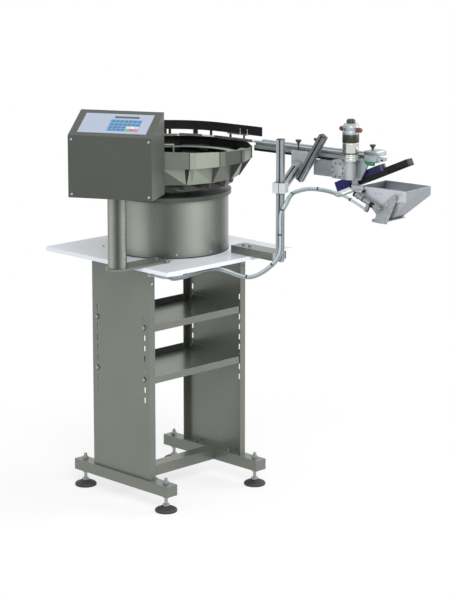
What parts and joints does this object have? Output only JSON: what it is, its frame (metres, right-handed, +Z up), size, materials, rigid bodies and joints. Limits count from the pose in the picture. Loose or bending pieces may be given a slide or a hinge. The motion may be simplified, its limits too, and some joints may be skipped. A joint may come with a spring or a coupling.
{
  "type": "vibratory bowl feeder",
  "caption": "Vibratory bowl feeder on a stand: faceted bowl with a spiral track on a round drive, straight outlet track with a belt unit and trap hopper, and a control box.",
  "frame": {"origin": "on the floor under the middle of the whole machine's box", "axes": "+Z up; +X from the left side panel to the right one; +Y from the operator's side to the back, along the foot beams"},
  "size_m": [1.0302, 1.1552, 1.445],
  "materials": {
    "stand_paint": "dark olive-grey metallic paint",
    "box_paint": "olive-grey metallic paint",
    "cover_paint": "olive-grey metallic paint",
    "brushed": "brushed stainless steel",
    "bright": "bright steel",
    "motor_shell": "polished steel",
    "core": "steel laminations and wound wire",
    "aluminium": "clear anodised aluminium",
    "black_paint": "satin black coating",
    "rubber": "black rubber",
    "table_paint": "smooth off-white paint",
    "keypad": "pale printed film without lettering",
    "knob": "black plastic",
    "belt": "blue belt",
    "hose": "pale grey-blue plastic"
  },
  "bodies": {
    "stand": {"foot_beams": "stand_paint", "cross_beam": "stand_paint", "levelling_discs": "rubber", "levelling_studs": "bright", "side_panel_left": "stand_paint", "side_panel_right": "stand_paint", "shelves": "stand_paint", "frame_bolts": "bright", "sub_plate": "stand_paint", "table_top": "table_paint", "cover_screws": "bright", "drum_seal": "rubber", "drum_ring": "stand_paint", "drum_cover": "brushed", "rubber_mounts": "rubber", "drive_base": "stand_paint", "leaf_springs": "brushed", "electromagnet": "core", "arm_plate": "stand_paint", "control_post": "brushed", "control_box": "box_paint", "box_cover": "cover_paint", "keypad": "keypad", "support_beam": "stand_paint", "post_foot": "aluminium", "support_post": "aluminium", "post_clamp": "aluminium", "cross_arm": "aluminium", "swivel_block": "aluminium", "strut_profile": "aluminium", "rail_bracket": "aluminium", "rail_track": "aluminium", "rail_strip": "black_paint", "motor": "motor_shell", "motor_head": "aluminium", "gearbox": "aluminium", "head_plate": "aluminium", "head_block": "aluminium", "belt_frame": "black_paint", "belt": "belt", "hopper": "aluminium", "flap_cylinder": "bright", "hose_bundle": "hose"},
    "bowl": {"armature": "core", "top_plate": "stand_paint", "bowl_hub": "stand_paint", "centre_clamp": "bright", "bowl_shell": "brushed", "spiral_track": "black_paint", "track_strips": "bright", "guard_wall": "black_paint", "exit_chute": "bright"},
    "inlet_knob": {"knob_inlet": "knob"},
    "middle_knob": {"knob_middle": "knob"},
    "outlet_knob": {"knob_outlet": "knob"},
    "belt_nose_roller": {"nose_roller": "bright"},
    "belt_tail_roller": {"tail_roller": "bright"},
    "belt_drive_roller": {"drive_roller": "bright"},
    "flap": {"hopper_flap": "aluminium"},
    "rod": {"cylinder_rod": "bright"}
  },
  "joints": [
    {"name": "bowl_vibration", "type": "hinge", "parent": "stand", "child": "bowl", "pos_m": [0.01965, 0.25451, 1.1], "axis": [0, 0, 1], "range_deg": [-0.25, 0.25], "stiffness_Nm_per_rad": 2000},
    {"name": "inlet_knob_turn", "type": "hinge", "parent": "stand", "child": "inlet_knob", "pos_m": [0.32146, -0.10354, 1.27], "axis": [0, 0, 1], "range_deg": [0, 270]},
    {"name": "middle_knob_turn", "type": "hinge", "parent": "stand", "child": "middle_knob", "pos_m": [0.38259, -0.13502, 1.285], "axis": [0, 0, 1], "range_deg": [0, 270]},
    {"name": "outlet_knob_turn", "type": "hinge", "parent": "stand", "child": "outlet_knob", "pos_m": [0.38218, -0.40469, 1.3], "axis": [0, 0, 1], "range_deg": [0, 270]},
    {"name": "belt_drive_turn", "type": "hinge", "parent": "stand", "child": "belt_drive_roller", "pos_m": [0.37362, -0.34539, 1.1821], "axis": [-0.0438, 0.3963, 0.9171], "continuous": true},
    {"name": "belt_nose_turn", "type": "hinge", "parent": "stand", "child": "belt_nose_roller", "pos_m": [0.36527, -0.26973, 1.149], "axis": [-0.0438, 0.3963, 0.9171], "continuous": true},
    {"name": "belt_tail_turn", "type": "hinge", "parent": "stand", "child": "belt_tail_roller", "pos_m": [0.38459, -0.44475, 1.22556], "axis": [-0.0438, 0.3963, 0.9171], "continuous": true},
    {"name": "flap_swing", "type": "hinge", "parent": "stand", "child": "flap", "pos_m": [0.35448, -0.53653, 1.142], "axis": [-0.994, -0.1097, 0], "range_deg": [0, 25]},
    {"name": "rod_slide", "type": "slide", "parent": "stand", "child": "rod", "axis": [0.101, -0.9149, -0.3907], "range_m": [0, 0.0292]}
  ],
  "couplings": [
    {"joint": "belt_nose_turn", "follows": "belt_drive_turn", "ratio": 1},
    {"joint": "belt_tail_turn", "follows": "belt_drive_turn", "ratio": 1},
    {"joint": "rod_slide", "follows": "flap_swing", "m_per_rad": 0.0669}
  ]
}
